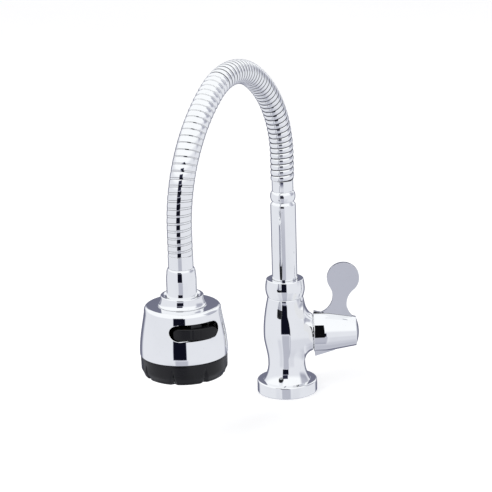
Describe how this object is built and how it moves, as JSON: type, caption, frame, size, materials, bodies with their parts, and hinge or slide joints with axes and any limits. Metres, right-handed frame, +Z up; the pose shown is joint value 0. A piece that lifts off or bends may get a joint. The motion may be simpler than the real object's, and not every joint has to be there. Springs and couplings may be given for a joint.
{
  "type": "kitchen faucet with flexible gooseneck and spray head",
  "caption": "Deck-mounted single-lever sink tap: chromed post, bendable ribbed gooseneck and a bell-shaped spray head with a black nozzle ring and a spray selector",
  "frame": {"origin": "centre of the flange's underside, where the inlet thread opens", "axes": "+Z up the post, +X along the lever's axis, -Y towards the person at the sink"},
  "size_m": [0.1696, 0.1745, 0.2812],
  "materials": {
    "chromed_brass": "polished",
    "black_plastic": "satin",
    "grey_plastic": "satin",
    "white_plastic": "satin",
    "brass": "satin",
    "steel": "satin",
    "ceramic": "satin",
    "black_rubber": "matte",
    "grey_rubber": "matte"
  },
  "bodies": {
    "base": {"base_flange": "chromed_brass", "deck_gasket": "black_rubber", "valve_body": "chromed_brass", "collar_nut": "chromed_brass", "headwork_housing": "brass", "headwork_seal": "black_rubber", "seat_seal": "black_rubber", "fixed_disc": "ceramic"},
    "lever": {"moving_disc": "ceramic", "spindle": "brass", "spindle_seals": "black_rubber", "spindle_clip": "steel", "lever_handle": "chromed_brass", "set_screw": "steel", "hub_cap": "chromed_brass"},
    "spout": {"swivel_spigot": "brass", "spigot_seals": "black_rubber", "glide_ring": "white_plastic", "riser_tube": "chromed_brass", "hose_ferrule": "chromed_brass", "lower_barb": "brass", "barb_seal": "black_rubber", "lower_crimp": "steel", "water_liner": "grey_rubber", "gooseneck_01": "chromed_brass"},
    "hose_02": {"gooseneck_02": "chromed_brass"},
    "hose_03": {"gooseneck_03": "chromed_brass"},
    "hose_04": {"gooseneck_04": "chromed_brass"},
    "hose_05": {"gooseneck_05": "chromed_brass"},
    "hose_06": {"gooseneck_06": "chromed_brass"},
    "hose_07": {"gooseneck_07": "chromed_brass"},
    "hose_08": {"gooseneck_08": "chromed_brass"},
    "hose_09": {"gooseneck_09": "chromed_brass"},
    "neck": {"gooseneck_10": "chromed_brass", "hose_end_sleeve": "chromed_brass", "neck_sleeve": "chromed_brass", "head_spigot": "brass", "head_seals": "black_rubber", "upper_crimp": "steel"},
    "head": {"neck_ring": "chromed_brass", "bell_housing": "chromed_brass", "head_core": "grey_plastic", "nozzle_ring": "black_plastic", "spray_plate": "grey_plastic", "nozzle_mat": "grey_rubber", "plate_seal": "black_rubber", "aerator": "white_plastic", "aerator_mesh": "steel", "selector_pin": "steel"},
    "selector": {"selector_rocker": "black_plastic"},
    "diverter": {"diverter_spool": "white_plastic", "spool_seals": "black_rubber"}
  },
  "joints": [
    {"name": "lever_turn", "type": "hinge", "parent": "base", "child": "lever", "pos_m": [0, 0, 0.0485], "axis": [1, 0, 0], "range_deg": [0, 90]},
    {"name": "spout_swivel", "type": "hinge", "parent": "base", "child": "spout", "pos_m": [0, 0, 0.08], "axis": [0, 0, 1], "continuous": true},
    {"name": "gooseneck_bend", "type": "hinge", "parent": "spout", "child": "hose_02", "pos_m": [-0.00014, -0.00021, 0.20001], "axis": [0.8339, -0.5519, 0], "range_deg": [-8, 1.5], "deforming": ["water_liner"]},
    {"name": "gooseneck_bend_2", "type": "hinge", "parent": "hose_02", "child": "hose_03", "pos_m": [-0.00342, -0.00517, 0.22508], "axis": [0.8339, -0.5519, 0], "range_deg": [-8, 1.5]},
    {"name": "gooseneck_bend_3", "type": "hinge", "parent": "hose_03", "child": "hose_04", "pos_m": [-0.01107, -0.01672, 0.24778], "axis": [0.8339, -0.5519, 0], "range_deg": [-8, 1.5]},
    {"name": "gooseneck_bend_4", "type": "hinge", "parent": "hose_04", "child": "hose_05", "pos_m": [-0.02266, -0.03423, 0.2654], "axis": [0.8339, -0.5519, 0], "range_deg": [-8, 1.5]},
    {"name": "gooseneck_bend_5", "type": "hinge", "parent": "hose_05", "child": "hose_06", "pos_m": [-0.03768, -0.05693, 0.27192], "axis": [0.8339, -0.5519, 0], "range_deg": [-8, 1.5]},
    {"name": "gooseneck_bend_6", "type": "hinge", "parent": "hose_06", "child": "hose_07", "pos_m": [-0.05256, -0.07941, 0.26182], "axis": [0.8339, -0.5519, 0], "range_deg": [-8, 1.5]},
    {"name": "gooseneck_bend_7", "type": "hinge", "parent": "hose_07", "child": "hose_08", "pos_m": [-0.06441, -0.09732, 0.24089], "axis": [0.8339, -0.5519, 0], "range_deg": [-8, 1.5]},
    {"name": "gooseneck_bend_8", "type": "hinge", "parent": "hose_08", "child": "hose_09", "pos_m": [-0.07306, -0.11038, 0.21435], "axis": [0.8339, -0.5519, 0], "range_deg": [-8, 1.5]},
    {"name": "gooseneck_bend_9", "type": "hinge", "parent": "hose_09", "child": "neck", "pos_m": [-0.07756, -0.11718, 0.18376], "axis": [0.8339, -0.5519, 0], "range_deg": [-8, 1.5]},
    {"name": "head_swivel", "type": "hinge", "parent": "neck", "child": "head", "pos_m": [-0.07804, -0.1179, 0.11], "axis": [0, 0, 1], "continuous": true},
    {"name": "selector_rock", "type": "hinge", "parent": "head", "child": "selector", "pos_m": [-0.06908, -0.14124, 0.1], "axis": [0, 0, 1], "range_deg": [0, 20]},
    {"name": "diverter_slide", "type": "slide", "parent": "head", "child": "diverter", "axis": [0.9336, 0.3584, 0], "range_m": [-0.0028, 0]}
  ],
  "couplings": [
    {"joint": "gooseneck_bend_2", "follows": "gooseneck_bend", "ratio": 1},
    {"joint": "gooseneck_bend_3", "follows": "gooseneck_bend", "ratio": 1},
    {"joint": "gooseneck_bend_4", "follows": "gooseneck_bend", "ratio": 1},
    {"joint": "gooseneck_bend_5", "follows": "gooseneck_bend", "ratio": 1},
    {"joint": "gooseneck_bend_6", "follows": "gooseneck_bend", "ratio": 1},
    {"joint": "gooseneck_bend_7", "follows": "gooseneck_bend", "ratio": 1},
    {"joint": "gooseneck_bend_8", "follows": "gooseneck_bend", "ratio": 1},
    {"joint": "gooseneck_bend_9", "follows": "gooseneck_bend", "ratio": 1},
    {"joint": "diverter_slide", "follows": "selector_rock", "m_per_rad": -0.00776}
  ]
}
